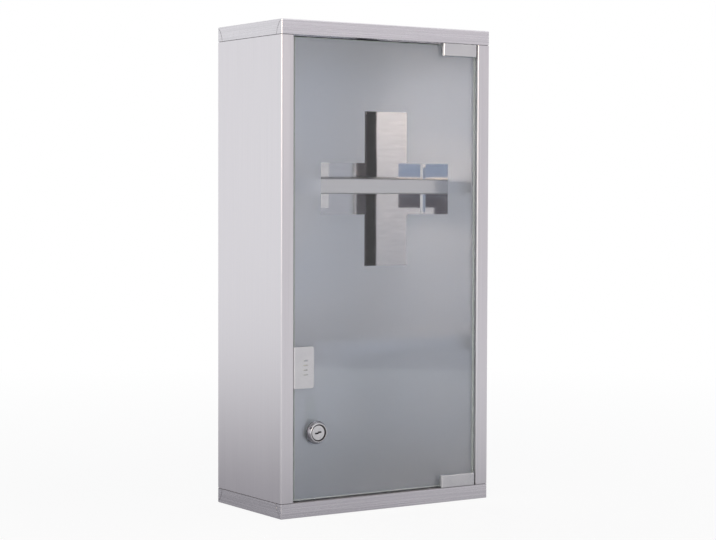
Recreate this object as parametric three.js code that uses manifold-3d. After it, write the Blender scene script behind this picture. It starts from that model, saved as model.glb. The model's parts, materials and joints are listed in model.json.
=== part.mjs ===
// Wall medicine cabinet: a folded stainless steel case with two shelves and an inset glass door.
// The door swings on two pivot clamps, is held by a push-to-open latch and locks with a cam lock.
// Millimetres. +X to the right, +Y towards the wall, +Z up. The origin is the middle of the base.
import * as THREE from 'three';
import { mergeVertices } from 'three/addons/utils/BufferGeometryUtils.js';
import Module from 'manifold-3d';

const wasm = await Module();
wasm.setup();

// Driving dimensions of the case
const CABINET_WIDTH = 300;
const CABINET_DEPTH = 150;
const CABINET_HEIGHT = 580;
const SHEET = 0.8; // stainless steel sheet
const BEND = 1.8; // outside radius of a fold
const CAP_SKIRT = 17.5; // height of the rim of the top and bottom caps
const CAP_JOINT = 0.8; // open joint between a cap's rim and the panels
const CAP_RETURN = 20; // depth of the flange behind a cap's front rim, which carries a pivot
const STILE_WIDTH = 17.5; // outer side of the cabinet to the door opening
const REAR_FLANGE = 14; // fold of a side panel behind the back panel
const BACK_INSET = 4.6; // rear flanges to the back panel, so that it stands clear of an uneven wall
const CORNER_BAR = 2; // flat bar that joins the back panel to a side panel
const CORNER_BAR_SHOW = 5.8; // the bar in front of the back panel
const JOGGLE_TALL = 2; // height over which a panel's end steps in to pass inside a cap
const TAB_ROOT = 2; // corner tab of a cap's rim, at the folded edge
const TAB_FOOT = 10.5; // and at the rim's free edge
const TAB_SLIT = 0.7; // open seam beside a corner tab

// Shelves, and the holes that hang the cabinet
const LOWER_SHELF = 203; // height of the shelf's top
const UPPER_SHELF = 396.5;
const SHELF_LIP = 18;
const SHELF_HEM = 8;
const SHELF_SETBACK = 12; // back of the door to the shelf's front
const SHELF_PLAY = 0.4; // between a shelf and what stands round it
const RAIL_LEG = 14;
const RAIL_SETBACK = 16; // shelf's front and rear to the ends of a rail
const KEYHOLE_SPACING = 200;
const KEYHOLE_DROP = 48; // cabinet's top to the middle of a keyhole's round head
const KEYHOLE_HEAD = 10;
const KEYHOLE_SLOT = 5;
const KEYHOLE_RISE = 9; // how far the slot runs above the round head
const STEADY_HOLE = 7; // lower pair of screw holes
const STEADY_HOLE_HEIGHT = 45;

// Door
const GLASS = 4;
const GLASS_RECESS = 3; // case's front face to the glass
const DOOR_FREE_GAP = 2.5; // stile to the free edge of the glass
const DOOR_HINGE_GAP = 1.2; // and to its hinge edge
const ARRIS = 0.5; // ground edge of the glass
const FILM = 0.25; // frosted layer on the back of the glass
const FILM_MARGIN = 0.3;
const CROSS_SPAN = 184; // clear window in the frosting
const CROSS_ARM = 61.2;
const CROSS_HEIGHT = 364.6; // bottom edge of the glass to the middle of the cross

// Pivot hinges
const PIVOT_INSET = 10.3; // hinge edge of the glass to the pivot
const PIVOT_DEPTH = 3.5; // front of the glass to the pivot
const CLAMP_LENGTH = 50.6;
const CLAMP_SETBACK = 1.2; // hinge edge of the glass to the clamp's end
const CLAMP_TALL = 15;
const CLAMP_WALL = 3.5;
const CLAMP_BRIDGE = 1.2; // web over the edge of the glass
const CLAMP_ROUND = 1; // radius of the clamp's long edges
const CLAMP_END_ROUND = 2.5; // and of its upright edges in front
const LINER = 0.4; // rubber between metal and glass
const PIN_DIAMETER = 5;
const PIN_TAIL = 3.4; // thinner end, riveted into the bridge
const PIN_REACH = 7; // pin above the bridge
const BUSH_WALL = 1.5;
const BUSH_FLANGE = 0.4;
const BUSH_FLANGE_LEDGE = 1.2; // flange beyond the sleeve
const BUSH_SLEEVE = 4.5; // length of the sleeve
const SET_SCREW = 4;
const SET_SCREW_SPACING = 24;
const SET_SCREW_SOCKET = 2; // across the flats of the hexagon

// Cam lock
const LOCK_INSET = 29.8; // free edge of the glass to the lock's axis
const LOCK_HEIGHT = 78.5; // bottom edge of the glass to the lock's axis
const LOCK_BASE = 27.4; // diameter of the bezel against the glass
const LOCK_RIM = 22.8; // and at its face
const LOCK_PROUD = 6.5; // bezel's face in front of the glass
const LOCK_FOOT = 0.8; // straight foot of the bezel, below its cone
const LOCK_CHAMFER = 0.5;
const LOCK_MOUTH = 0.4; // chamfer round the turning face
const LOCK_BARREL = 18; // diameter of the threaded barrel
const LOCK_HOLE_PLAY = 0.5; // barrel to the hole in the glass
const LOCK_GASKET = 0.8;
const LOCK_GASKET_LEDGE = 4.4; // gasket beyond the barrel
const LOCK_WASHER = 1;
const LOCK_WASHER_LEDGE = 2.2; // washer beyond the barrel
const LOCK_NUT = 4; // thickness
const LOCK_NUT_FLATS = 23;
const LOCK_THREAD_SHOW = 1.2; // barrel behind the nut
const PLUG_HEAD = 17.2; // diameter of the turning face
const PLUG_HEAD_DEEP = 3;
const PLUG_SUNK = 1.2; // turning face below the bezel's face
const PLUG_STEM = 12; // diameter
const PLUG_SQUARE = 6; // shank that turns the cam
const KEYWAY_LENGTH = 7.8;
const KEYWAY_WIDTH = 1.8;
const KEYWAY_STEP = 1.3; // offset between the two halves of the keyway
const KEYWAY_DEEP = 9;
const CAM_BITE = 8; // cam beyond the edge of the stile when locked
const CAM_PLAY = 0.8; // stile's lip to the cam
const CAM_WIDTH = 13;
const CAM_THICK = 2;
const CAM_SCREW = 3;
const CAM_SCREW_HEAD = 9;
const CAM_SCREW_HEAD_TALL = 2.2;
const CAM_SCREW_LENGTH = 7;

// Push-to-open latch and its strike on the glass
const STRIKE_WIDTH = 27.7;
const STRIKE_TALL = 49;
const STRIKE_BACK = 20; // width of the clip behind the glass
const STRIKE_SHEET = 1;
const STRIKE_CORNER = 3;
const LATCH_HEADROOM = 2.4; // lower shelf's lip to the latch
const LATCH_WIDTH = 16;
const LATCH_TALL = 14;
const LATCH_ROUND = 2;
const LATCH_EAR = 10;
const LATCH_EAR_TALL = 5;
const LATCH_END = 5; // wall behind the spring
const PLUNGER_DIAMETER = 9;
const PLUNGER_SHOW = 7; // plunger in front of the housing, door closed
const PLUNGER_GRIP = 28; // plunger inside the housing, door closed
const MAGNET_DIAMETER = 7;
const MAGNET_DEEP = 4;
const MAGNET_PROUD = 0.3;
const SPRING_ROOM = 16;
const SPRING_WIRE = 0.8;
const SPRING_TURNS = 6;
const BRACKET_SHEET = 1.2;
const BRACKET_LEG = 16;
const BRACKET_LENGTH = 36;
const LATCH_SCREW = 3;
const LATCH_SCREW_HEAD = 6;
const LATCH_SCREW_HEAD_TALL = 1.8;
const LATCH_SCREW_BITE = 3.5; // screw inside the ear
const LATCH_SCREW_SPACING = 22;

// Clearances
const SEAT = 0.15; // between faces that touch
const RUN = 0.1; // between a turning or sliding face and its guide

// How finely round shapes are drawn
const BEND_STEPS = 4; // per rounded corner
const ROUND_SIDES = 48;
const SMALL_SIDES = 24;
const SPRING_STEPS = 10; // per turn
const SPRING_SIDES = 6;

// Places that follow from the driving dimensions
const FRONT = -CABINET_DEPTH / 2;
const WALL = CABINET_DEPTH / 2;
const BODY_HALF = CABINET_WIDTH / 2; // outer face of a side panel
const BODY_FOOT = BEND + SEAT; // the panels stop short of the folds of the caps
const BODY_HEAD = CABINET_HEIGHT - BEND - SEAT;
const JOGGLE = SHEET + SEAT; // how far a panel's end steps in
const INNER_HALF = BODY_HALF - SHEET;
const BACK_REAR = WALL - JOGGLE - SHEET - BACK_INSET; // the back panel's rear face
const BACK_INNER = BACK_REAR - SHEET;
const BAR_INNER = INNER_HALF - SEAT - CORNER_BAR; // inner face of a corner bar
const BACK_HALF = BAR_INNER - SEAT; // the back panel lies between the bars
const OPENING_HALF = CABINET_WIDTH / 2 - STILE_WIDTH;

const CLAMP_GAP = SEAT + BUSH_FLANGE + RUN; // jamb to the clamp's bridge
const DOOR_END_GAP = CLAMP_GAP + CLAMP_BRIDGE + LINER + 2 * SEAT;
const GLASS_FREE = -OPENING_HALF + DOOR_FREE_GAP; // free edge of the glass
const GLASS_HINGED = OPENING_HALF - DOOR_HINGE_GAP; // hinge edge
const GLASS_HALF = (GLASS_HINGED - GLASS_FREE) / 2;
const GLASS_MIDDLE = (GLASS_HINGED + GLASS_FREE) / 2;
const GLASS_FOOT = CAP_SKIRT + DOOR_END_GAP;
const GLASS_HEAD = CABINET_HEIGHT - CAP_SKIRT - DOOR_END_GAP;
const GLASS_FRONT = FRONT + GLASS_RECESS;
const PANE = GLASS + SEAT + FILM; // glass with its frosted layer
const PANE_BACK = GLASS_FRONT + PANE;
const PIVOT_X = GLASS_HINGED - PIVOT_INSET;

// Lock, counted back from the front of the glass
const LOCK_X = GLASS_FREE + LOCK_INSET;
const LOCK_Z = GLASS_FOOT + LOCK_HEIGHT;
const WASHER_BACK = PANE + SEAT + LOCK_WASHER;
const NUT_BACK = WASHER_BACK + SEAT + LOCK_NUT;
const BARREL_END = NUT_BACK + LOCK_THREAD_SHOW;
const CAM_FRONT = BARREL_END + SEAT;
const CAM_BACK = CAM_FRONT + CAM_THICK;
const CAM_REACH = LOCK_INSET + DOOR_FREE_GAP + CAM_BITE;
const LIP_REAR = GLASS_FRONT + CAM_FRONT - CAM_PLAY; // the stile's lip ends where the cam passes
const BARREL_HOLE = LOCK_BARREL / 2 + LOCK_HOLE_PLAY;

const SHELF_FRONT = PANE_BACK + SHELF_SETBACK;
const SHELF_REAR = BACK_INNER - SHELF_PLAY;
const SHELF_HALF = BAR_INNER - SHELF_PLAY;

// Latch, hung just under the lower shelf's lip and in line with the strike
const LATCH_Z = LOWER_SHELF - SHELF_LIP - LATCH_HEADROOM - LATCH_TALL / 2;
const STRIKE_SKIN = SEAT + LINER + SEAT; // glass to the strike's metal
const STRIKE_EDGE = GLASS_FREE - STRIKE_SKIN - STRIKE_SHEET;
const STRIKE_REAR = PANE_BACK + STRIKE_SKIN + STRIKE_SHEET;
const LATCH_X = STRIKE_EDGE + STRIKE_BACK / 2;
const LATCH_BORE_DEEP = PLUNGER_GRIP + SPRING_ROOM;
const LATCH_LENGTH = LATCH_BORE_DEEP + LATCH_END;
const LATCH_EAR_MIDDLE = -LATCH_WIDTH / 2 - LATCH_EAR / 2;
const BRACKET_MIDDLE = PLUNGER_SHOW + LATCH_LENGTH / 2;

// Finishes
const finish = (color, roughness, metalness) => (
  new THREE.MeshStandardMaterial({ color, roughness, metalness }));
const brushedSteel = finish('#c3c0c6', 0.42, 1);
const polishedSteel = finish('#cfcdd0', 0.12, 1);
const satinNickel = finish('#b9babd', 0.35, 1);
const chrome = finish('#d4d4d6', 0.08, 1);
const zincPlate = finish('#b6b7b4', 0.3, 1);
const clearGlass = new THREE.MeshStandardMaterial({
  color: '#dfe9e8', roughness: 0.03, metalness: 0, transparent: true, opacity: 0.35,
});
const frostedLayer = new THREE.MeshStandardMaterial({
  color: '#b3bac2', roughness: 0.85, metalness: 0, transparent: true, opacity: 0.8,
});
const blackRubber = finish('#26262a', 0.8, 0);
const clearRubber = finish('#c9cdd0', 0.6, 0);
const whiteNylon = finish('#e6e6e2', 0.5, 0);
const greyPlastic = finish('#8f9196', 0.55, 0);
const ferrite = finish('#3a3a3d', 0.6, 0.2);
const springSteel = finish('#9a9b9d', 0.3, 1);

// Solids: joining and cutting closed meshes
function solidOf(geometry) {
  const bare = geometry.index ? geometry.toNonIndexed() : geometry.clone();
  bare.deleteAttribute('normal');
  bare.deleteAttribute('uv');
  const merged = mergeVertices(bare, 1e-4);
  return new wasm.Manifold(new wasm.Mesh({
    numProp: 3,
    vertProperties: merged.attributes.position.array,
    triVerts: new Uint32Array(merged.index.array),
  }));
}

function geometryOf(solid) {
  const { vertProperties, triVerts } = solid.getMesh();
  const geometry = new THREE.BufferGeometry();
  geometry.setAttribute('position', new THREE.BufferAttribute(vertProperties, 3));
  geometry.setIndex(new THREE.BufferAttribute(triVerts, 1));
  const faceted = geometry.toNonIndexed();
  faceted.computeVertexNormals();
  return faceted;
}

const joined = (...pieces) => geometryOf(pieces.map(solidOf).reduce((sum, piece) => sum.add(piece)));
const shared = (...pieces) => geometryOf(pieces.map(solidOf).reduce((sum, piece) => sum.intersect(piece)));
const cut = (piece, ...tools) => (
  geometryOf(tools.map(solidOf).reduce((rest, tool) => rest.subtract(tool), solidOf(piece))));

// Outlines
const point = (x, y) => new THREE.Vector2(x, y);

// A closed outline through the corners, each rounded by its own radius.
function roundedOutline(corners, radii) {
  return corners.flatMap((corner, i) => {
    const radius = radii[i];
    if (!radius) return [corner];
    const into = corner.clone().sub(corners.at(i - 1)).normalize();
    const out = corners[(i + 1) % corners.length].clone().sub(corner).normalize();
    const turn = Math.atan2(into.cross(out), into.dot(out));
    const start = corner.clone().addScaledVector(into, -radius * Math.tan(Math.abs(turn) / 2));
    const centre = start.clone().addScaledVector(point(-into.y, into.x), radius * Math.sign(turn));
    return Array.from({ length: BEND_STEPS + 1 }, (_, step) => (
      start.clone().rotateAround(centre, turn * step / BEND_STEPS)));
  });
}

// A rectangle with its four corners given radii, anticlockwise from the low left.
function rectangle(left, low, right, high, radii = [0, 0, 0, 0]) {
  return roundedOutline([point(left, low), point(right, low), point(right, high), point(left, high)], radii);
}

const everyCorner = (radius) => [radius, radius, radius, radius];

// Section of a folded sheet. The corners run along its outer face, with the metal on their left.
function foldedSheet(corners, thickness, bend) {
  const inner = corners.map((corner, i) => {
    const into = i > 0 ? corner.clone().sub(corners[i - 1]).normalize() : null;
    const out = i < corners.length - 1 ? corners[i + 1].clone().sub(corner).normalize() : null;
    const left = (way) => point(-way.y, way.x);
    if (!into || !out) return corner.clone().addScaledVector(left(into || out), thickness);
    const across = left(into).add(left(out));
    return corner.clone().addScaledVector(across, thickness / (1 + into.dot(out)));
  });
  const radii = (radius) => corners.map((_, i) => (i === 0 || i === corners.length - 1 ? 0 : radius));
  return roundedOutline(
    [...corners, ...inner.reverse()],
    [...radii(bend), ...radii(Math.max(0, bend - thickness))],
  );
}

function circle(radius, sides, x = 0, y = 0) {
  return Array.from({ length: sides }, (_, i) => {
    const angle = (2 * Math.PI * i) / sides;
    return point(x + radius * Math.cos(angle), y + radius * Math.sin(angle));
  });
}

// Solids from outlines
function extruded(outline, depth, holes = []) {
  const shape = new THREE.Shape(outline);
  shape.holes = holes.map((hole) => new THREE.Path(hole));
  return new THREE.ExtrudeGeometry(shape, { depth, bevelEnabled: false });
}

const AXIS = { x: new THREE.Vector3(1, 0, 0), y: new THREE.Vector3(0, 1, 0), z: new THREE.Vector3(0, 0, 1) };
const ALONG_X = new THREE.Matrix4().makeBasis(AXIS.y, AXIS.z, AXIS.x);
const ALONG_Y = new THREE.Matrix4().makeBasis(AXIS.x, AXIS.z, AXIS.y.clone().negate());

// Prisms: an outline in XY, YZ or XZ, drawn out along the third axis.
const prismZ = (outline, low, high, holes) => extruded(outline, high - low, holes).translate(0, 0, low);
const prismX = (outline, left, right) => (
  extruded(outline, right - left).applyMatrix4(ALONG_X).translate(left, 0, 0));
const prismY = (outline, front, back, holes) => (
  extruded(outline, back - front, holes).applyMatrix4(ALONG_Y).translate(0, back, 0));

function block(left, right, front, back, low, high) {
  return new THREE.BoxGeometry(right - left, back - front, high - low)
    .translate((left + right) / 2, (front + back) / 2, (low + high) / 2);
}

// A body turned about the Y axis, from [radius, y] pairs that run from the front to the back.
function turnedY(profile, sides = ROUND_SIDES) {
  return new THREE.LatheGeometry(profile.map(([radius, y]) => point(radius, y)), sides);
}

// The same about the Z axis, from [radius, z] pairs that run upwards.
const turnedZ = (profile, sides = SMALL_SIDES) => turnedY(profile, sides).rotateX(Math.PI / 2);

// A hollow turned body: the outer line runs forwards along the axis, and the bore closes it.
const ring = (outer, boreRadius) => {
  const [first, last] = [outer[0], outer.at(-1)];
  return [[boreRadius, first[1]], ...outer, [boreRadius, last[1]], [boreRadius, first[1]]];
};

const rodY = (radius, front, back, sides = SMALL_SIDES) => (
  turnedY([[0, front], [radius, front], [radius, back], [0, back]], sides));
const rodZ = (radius, low, high, sides = SMALL_SIDES) => (
  turnedZ([[0, low], [radius, low], [radius, high], [0, high]], sides));

function piece(name, geometry, material) {
  const mesh = new THREE.Mesh(geometry, material);
  mesh.name = name;
  return mesh;
}

function group(...members) {
  const made = new THREE.Group();
  made.add(...members);
  return made;
}

const mirroredX = (object) => {
  object.scale.x = -1;
  return object;
};

const mirroredZ = (object) => {
  object.scale.z = -1;
  return object;
};

// Case: side panels, back, caps

// Corners of the right side panel's section, from the lip round to the rear flange, on a line set in
// from the outside of the case.
function panelLine(inset, lip) {
  const side = BODY_HALF - inset;
  return [
    point(OPENING_HALF + lip, LIP_REAR),
    point(OPENING_HALF + lip, FRONT + inset),
    point(side, FRONT + inset),
    point(side, WALL - inset),
    point(BODY_HALF - REAR_FLANGE, WALL - inset),
  ];
}

// The metal between an outer and an inner line.
function panelSection(outerInset, innerInset) {
  const outer = panelLine(outerInset, 0);
  const inner = panelLine(innerInset, SHEET).reverse();
  const folds = (radius) => [0, radius, radius, radius, 0];
  return roundedOutline([...outer, ...inner], [...folds(BEND), ...folds(BEND - SHEET)]);
}

// The right side panel lies flush with the caps. Its ends are joggled: they step in and pass inside the rims.
function sidePanel(name) {
  const foot = CAP_SKIRT + CAP_JOINT;
  const head = CABINET_HEIGHT - foot;
  const step = JOGGLE_TALL / 2;
  const wall = panelSection(0, SHEET);
  const joggle = panelSection(0, JOGGLE + SHEET);
  const tongue = panelSection(JOGGLE, JOGGLE + SHEET);
  return piece(name, joined(
    prismZ(joggle, foot, foot + JOGGLE_TALL),
    prismZ(joggle, head - JOGGLE_TALL, head),
    prismZ(wall, foot + step, head - step),
    prismZ(tongue, BODY_FOOT, foot + step),
    prismZ(tongue, head - step, BODY_HEAD),
  ), brushedSteel);
}

// A keyhole in XZ: a round head that a screw passes, and a slot above it that the screw hangs in.
function keyhole(x, z) {
  const headRadius = KEYHOLE_HEAD / 2;
  const slotHalf = KEYHOLE_SLOT / 2;
  const slotCentre = z + KEYHOLE_RISE;
  const head = prismY(circle(headRadius, SMALL_SIDES, x, z), BACK_INNER - SHEET, BACK_REAR + SHEET);
  const slot = prismY(
    rectangle(x - slotHalf, z, x + slotHalf, slotCentre + slotHalf, [0, 0, slotHalf, slotHalf]),
    BACK_INNER - SHEET,
    BACK_REAR + SHEET,
  );
  return joined(head, slot);
}

function backPanel() {
  const sheet = prismY(rectangle(-BACK_HALF, BODY_FOOT, BACK_HALF, BODY_HEAD), BACK_INNER, BACK_REAR);
  const holes = [-1, 1].flatMap((side) => {
    const x = side * KEYHOLE_SPACING / 2;
    const steady = circle(STEADY_HOLE / 2, SMALL_SIDES, x, STEADY_HOLE_HEIGHT);
    return [
      keyhole(x, CABINET_HEIGHT - KEYHOLE_DROP),
      prismY(steady, BACK_INNER - SHEET, BACK_REAR + SHEET),
    ];
  });
  return piece('back_panel', cut(sheet, ...holes), polishedSteel);
}

// The flat bar in the right rear corner, welded to the side panel and to the edge of the back panel.
function cornerBar(name) {
  const front = BACK_INNER - CORNER_BAR_SHOW;
  const rear = WALL - JOGGLE - SHEET - SEAT;
  const foot = CAP_SKIRT + CAP_JOINT + JOGGLE_TALL + SEAT;
  const bar = rectangle(BAR_INNER, front, BAR_INNER + CORNER_BAR, rear);
  return piece(name, prismZ(bar, foot, CABINET_HEIGHT - foot), brushedSteel);
}

// A tray with its flat face at z 0 and its rim below, its outer edges rounded.
function trayBlock(halfWidth, halfDepth, tall, roof, round) {
  const low = roof - tall;
  return shared(
    prismZ(rectangle(-halfWidth, -halfDepth, halfWidth, halfDepth, everyCorner(round)), low, roof),
    prismX(rectangle(-halfDepth, low, halfDepth, roof, [0, 0, round, round]), -halfWidth, halfWidth),
    prismY(rectangle(-halfWidth, low, halfWidth, roof, [0, 0, round, round]), -halfDepth, halfDepth),
  );
}

// Seam of a corner tab in a cap's side rim, in YZ: it leaves the folded edge and curves outwards.
function tabSeam(end) {
  const corner = end * CABINET_DEPTH / 2;
  const edge = (offset) => {
    const root = point(corner - end * (TAB_ROOT + offset), -BEND);
    const foot = point(corner - end * (TAB_FOOT + offset), -CAP_SKIRT - SHEET);
    const bow = point(foot.x, (root.y + foot.y) / 2);
    return new THREE.QuadraticBezierCurve(root, bow, foot).getPoints(2 * BEND_STEPS);
  };
  const outline = [...edge(0), ...edge(TAB_SLIT).reverse()];
  return THREE.ShapeUtils.isClockWise(outline) ? outline.reverse() : outline;
}

// The top cap, with its outer face at z 0. The bottom cap is the same pressing turned over.
function cap(name) {
  const outer = trayBlock(CABINET_WIDTH / 2, CABINET_DEPTH / 2, CAP_SKIRT, 0, BEND);
  const hollow = trayBlock(
    CABINET_WIDTH / 2 - SHEET, CABINET_DEPTH / 2 - SHEET, CAP_SKIRT, -SHEET, BEND - SHEET);
  const returnHalf = OPENING_HALF - SEAT;
  const returnFlange = block(
    -returnHalf, returnHalf, FRONT + SHEET / 2, FRONT + CAP_RETURN, -CAP_SKIRT, -CAP_SKIRT + SHEET);
  const seams = [-1, 1].flatMap((end) => [-1, 1].map((side) => {
    const middle = side * (CABINET_WIDTH / 2 - SHEET / 2);
    return prismX(tabSeam(end), middle - SHEET, middle + SHEET);
  }));
  const bushHoleRadius = PIN_DIAMETER / 2 + RUN + BUSH_WALL + SEAT;
  const bushHole = rodZ(bushHoleRadius, -CAP_SKIRT - SHEET, -CAP_SKIRT + 2 * SHEET)
    .translate(PIVOT_X, GLASS_FRONT + PIVOT_DEPTH, 0);
  const pressing = joined(cut(outer, hollow), returnFlange);
  return piece(name, cut(pressing, ...seams, bushHole), brushedSteel);
}

// Shelves

// A shelf with its top at z 0: turned down and hemmed in front, turned down behind.
function shelfTray(name) {
  const fold = [
    point(SHELF_REAR, -SHELF_LIP),
    point(SHELF_REAR, 0),
    point(SHELF_FRONT, 0),
    point(SHELF_FRONT, -SHELF_LIP),
    point(SHELF_FRONT + SHELF_HEM, -SHELF_LIP),
  ];
  return piece(name, prismX(foldedSheet(fold, SHEET, BEND), -SHELF_HALF, SHELF_HALF), brushedSteel);
}

// The angle that carries the right end of a shelf, welded to the side panel.
function shelfRail(name) {
  const top = -SHEET - SEAT;
  const wall = INNER_HALF - SEAT;
  const fold = [point(wall, top - RAIL_LEG), point(wall, top), point(wall - RAIL_LEG, top)];
  const rail = prismY(foldedSheet(fold, SHEET, BEND), SHELF_FRONT + RAIL_SETBACK, SHELF_REAR - RAIL_SETBACK);
  return piece(name, rail, brushedSteel);
}

function shelf(level, height) {
  const made = group(
    shelfTray(`${level}_shelf`),
    shelfRail(`${level}_shelf_rail_right`),
    mirroredX(shelfRail(`${level}_shelf_rail_left`)),
  );
  made.position.z = height;
  return made;
}

// Door pane, drawn about the middle of the glass, from its bottom edge up

const lockHole = () => (
  rodY(BARREL_HOLE, -GLASS, 2 * GLASS, ROUND_SIDES).translate(LOCK_X - GLASS_MIDDLE, 0, LOCK_HEIGHT));

function doorGlass() {
  const tall = GLASS_HEAD - GLASS_FOOT;
  const shape = new THREE.Shape(rectangle(-GLASS_HALF + ARRIS, ARRIS, GLASS_HALF - ARRIS, tall - ARRIS));
  const pane = new THREE.ExtrudeGeometry(shape, {
    depth: GLASS - 2 * ARRIS, bevelThickness: ARRIS, bevelSize: ARRIS, bevelSegments: 1,
  }).applyMatrix4(ALONG_Y).translate(0, GLASS - ARRIS, 0);
  return piece('door_glass', cut(pane, lockHole()), clearGlass);
}

// The frosted layer covers the back of the glass and leaves a clear cross.
function frostedFilm() {
  const tall = GLASS_HEAD - GLASS_FOOT;
  const half = GLASS_HALF - FILM_MARGIN;
  const arm = CROSS_ARM / 2;
  const span = CROSS_SPAN / 2;
  const cross = joined(
    block(-span, span, 0, 2 * GLASS, CROSS_HEIGHT - arm, CROSS_HEIGHT + arm),
    block(-arm, arm, 0, 2 * GLASS, CROSS_HEIGHT - span, CROSS_HEIGHT + span),
  );
  const sheet = block(-half, half, GLASS + SEAT, PANE, FILM_MARGIN, tall - FILM_MARGIN);
  return piece('frosted_film', cut(sheet, cross, lockHole()), frostedLayer);
}

// Pivot hinge, drawn for the top of the door: the jamb at z 0, the pivot at x 0, the glass front at y 0

const CLAMP_TOP = -CLAMP_GAP;
const CLAMP_SLOT_TOP = CLAMP_TOP - CLAMP_BRIDGE;
const CLAMP_LOW = CLAMP_TOP - CLAMP_TALL;
const CLAMP_RIGHT = PIVOT_INSET - CLAMP_SETBACK;
const CLAMP_LEFT = CLAMP_RIGHT - CLAMP_LENGTH;
const LINER_SKIN = SEAT + LINER; // pane to the outside of the liner
const SLOT_FRONT = -LINER_SKIN - SEAT;
const SLOT_BACK = PANE + LINER_SKIN + SEAT;

const setScrewPlaces = () => [-1, 1].map((side) => ({
  x: (CLAMP_LEFT + CLAMP_RIGHT) / 2 + side * SET_SCREW_SPACING / 2,
  z: CLAMP_LOW + (CLAMP_TALL - CLAMP_BRIDGE) / 2,
}));

function hingeClamp(name) {
  const front = SLOT_FRONT - CLAMP_WALL;
  const back = SLOT_BACK + CLAMP_WALL;
  const ends = [CLAMP_END_ROUND, CLAMP_END_ROUND, CLAMP_ROUND, CLAMP_ROUND];
  const body = shared(
    prismX(rectangle(front, CLAMP_LOW, back, CLAMP_TOP, everyCorner(CLAMP_ROUND)), CLAMP_LEFT, CLAMP_RIGHT),
    prismZ(rectangle(CLAMP_LEFT, front, CLAMP_RIGHT, back, ends), CLAMP_LOW, CLAMP_TOP),
  );
  const slot = block(
    CLAMP_LEFT - CLAMP_WALL, CLAMP_RIGHT + CLAMP_WALL,
    SLOT_FRONT, SLOT_BACK,
    CLAMP_LOW - CLAMP_WALL, CLAMP_SLOT_TOP);
  const tailHole = rodZ(PIN_TAIL / 2 + SEAT, CLAMP_SLOT_TOP - CLAMP_BRIDGE, CLAMP_TOP + CLAMP_BRIDGE)
    .translate(0, PIVOT_DEPTH, 0);
  const screwHoles = setScrewPlaces().map(({ x, z }) => (
    rodY(SET_SCREW / 2 + SEAT, SLOT_BACK - LINER, SLOT_BACK + 2 * CLAMP_WALL).translate(x, 0, z)));
  return piece(name, cut(body, slot, tailHole, ...screwHoles), satinNickel);
}

// Rubber folded over the edge of the glass inside the clamp.
function hingeLiner(name) {
  const top = CLAMP_SLOT_TOP - SEAT;
  const outer = block(CLAMP_LEFT, CLAMP_RIGHT, -LINER_SKIN, PANE + LINER_SKIN, CLAMP_LOW, top);
  const hollow = block(
    CLAMP_LEFT - LINER, CLAMP_RIGHT + LINER, -SEAT, PANE + SEAT, CLAMP_LOW - LINER, top - LINER);
  return piece(name, cut(outer, hollow), clearRubber);
}

function hingePin(name) {
  const tail = PIN_TAIL / 2;
  const radius = PIN_DIAMETER / 2;
  const tip = CLAMP_TOP + PIN_REACH;
  const shoulder = CLAMP_TOP + SEAT;
  const profile = [
    [0, CLAMP_SLOT_TOP], [tail, CLAMP_SLOT_TOP], [tail, shoulder], [radius, shoulder],
    [radius, tip - RUN - tail / 2], [tail, tip], [0, tip],
  ];
  return piece(name, turnedZ(profile).translate(0, PIVOT_DEPTH, 0), zincPlate);
}

// Grub screw through the clamp's back wall, with a hexagon socket.
function setScrew(name, { x, z }) {
  const tip = PANE + LINER_SKIN + SEAT;
  const end = SLOT_BACK + CLAMP_WALL;
  const socketDeep = CLAMP_WALL / 2;
  const socket = prismY(circle(SET_SCREW_SOCKET / Math.sqrt(3), 6), end - socketDeep, end + CLAMP_WALL);
  const screw = cut(rodY(SET_SCREW / 2, tip, end), socket);
  return piece(name, screw.translate(x, 0, z), zincPlate);
}

// Flanged bush in the cap's return flange, which the pin turns in.
function hingeBush(name) {
  const bore = PIN_DIAMETER / 2 + RUN;
  const sleeve = bore + BUSH_WALL;
  const ledge = sleeve + BUSH_FLANGE_LEDGE;
  const outer = [[ledge, -SEAT - BUSH_FLANGE], [ledge, -SEAT], [sleeve, -SEAT], [sleeve, BUSH_SLEEVE]];
  return piece(name, turnedZ(ring(outer, bore)).translate(0, PIVOT_DEPTH, 0), whiteNylon);
}

const hingeOnDoor = (end) => group(
  hingeClamp(`${end}_hinge_clamp`),
  hingeLiner(`${end}_hinge_liner`),
  hingePin(`${end}_hinge_pin`),
  ...setScrewPlaces().map((place, i) => setScrew(`${end}_hinge_set_screw_${i + 1}`, place)),
);

function atJamb(end, object) {
  object.position.set(PIVOT_X, GLASS_FRONT, end === 'top' ? CABINET_HEIGHT - CAP_SKIRT : CAP_SKIRT);
  return end === 'top' ? object : mirroredZ(object);
}

// Strike: a steel clip over the free edge of the glass, which the latch's magnet holds

function strike() {
  const front = -STRIKE_SKIN - STRIKE_SHEET;
  const back = PANE + STRIKE_SKIN + STRIKE_SHEET;
  const fold = [
    point(STRIKE_EDGE + STRIKE_BACK, back),
    point(STRIKE_EDGE, back),
    point(STRIKE_EDGE, front),
    point(STRIKE_EDGE + STRIKE_WIDTH, front),
  ];
  const clip = prismZ(foldedSheet(fold, STRIKE_SHEET, BEND), -STRIKE_TALL / 2, STRIKE_TALL / 2);
  const face = rectangle(STRIKE_EDGE, -STRIKE_TALL / 2, STRIKE_EDGE + STRIKE_WIDTH, STRIKE_TALL / 2,
    [0, STRIKE_CORNER, STRIKE_CORNER, 0]);
  const trimmed = shared(clip, prismY(face, front - SHEET, back + SHEET));
  return piece('strike_plate', trimmed, satinNickel);
}

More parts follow.
